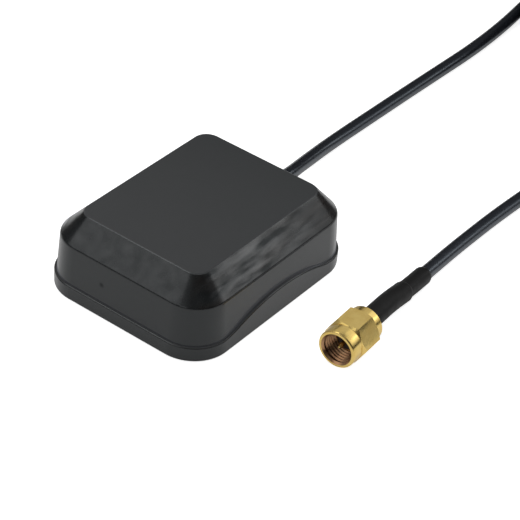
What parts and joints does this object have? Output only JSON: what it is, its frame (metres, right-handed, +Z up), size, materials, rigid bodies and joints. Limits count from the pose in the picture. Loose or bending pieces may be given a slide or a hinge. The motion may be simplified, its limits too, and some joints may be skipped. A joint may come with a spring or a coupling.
{
  "type": "gps antenna",
  "caption": "Low bevelled satellite-positioning antenna on a rubber foot, with a coaxial lead that ends in a screw-on radio plug.",
  "frame": {"origin": "middle of the housing's foot, on the surface that it stands on", "axes": "+Z up; +Y along the housing's long side, towards the end that the lead leaves; +X towards the long side that the plug lies beside"},
  "size_m": [0.0649, 0.1967, 0.0162],
  "materials": {
    "cover_plastic": "satin",
    "pad_rubber": "matte",
    "screw_steel": "satin",
    "magnet_nickel": "satin",
    "board_laminate": "satin",
    "tin_plate": "satin",
    "tape_foam": "matte",
    "ceramic": "matte",
    "silver_print": "satin",
    "chip_resin": "matte",
    "filter_lid": "satin",
    "capacitor_body": "matte",
    "cable_jacket": "satin",
    "sleeve_black": "matte",
    "tie_plastic": "matte",
    "braid_copper": "satin",
    "core_plastic": "matte",
    "copper_wire": "satin",
    "gold_plate": "polished",
    "spring_bronze": "satin",
    "silicone": "matte"
  },
  "bodies": {
    "antenna": {"amplifier_chip": "chip_resin", "antenna_lead": "cable_jacket", "base_cover": "cover_plastic", "cable_coil": "cable_jacket", "cable_grommet": "pad_rubber", "case_seal": "pad_rubber", "chip_capacitors": "capacitor_body", "circuit_board": "board_laminate", "coil_tie": "tie_plastic", "connector_lead": "cable_jacket", "contact_pin": "gold_plate", "cover_screws": "screw_steel", "crimp_ferrule": "gold_plate", "feed_pin": "tin_plate", "foot_pad": "pad_rubber", "heat_shrink_inner": "sleeve_black", "heat_shrink_outer": "sleeve_black", "lead_braid": "braid_copper", "lead_conductor": "copper_wire", "lead_core": "core_plastic", "magnet": "magnet_nickel", "patch_ceramic": "ceramic", "patch_electrode": "silver_print", "patch_tape": "tape_foam", "plug_body": "gold_plate", "plug_braid": "braid_copper", "plug_conductor": "copper_wire", "plug_core": "core_plastic", "plug_gasket": "silicone", "plug_insulator": "core_plastic", "retaining_ring": "spring_bronze", "shield_can": "tin_plate", "signal_filter": "filter_lid", "solder_joints": "tin_plate", "top_cover": "cover_plastic"},
    "nut": {"coupling_nut": "gold_plate"}
  },
  "joints": [
    {"name": "nut_spin", "type": "hinge", "parent": "antenna", "child": "nut", "pos_m": [0.03616, -0.00091, 0.004], "axis": [0.0523, -0.9986, 0], "continuous": true}
  ]
}
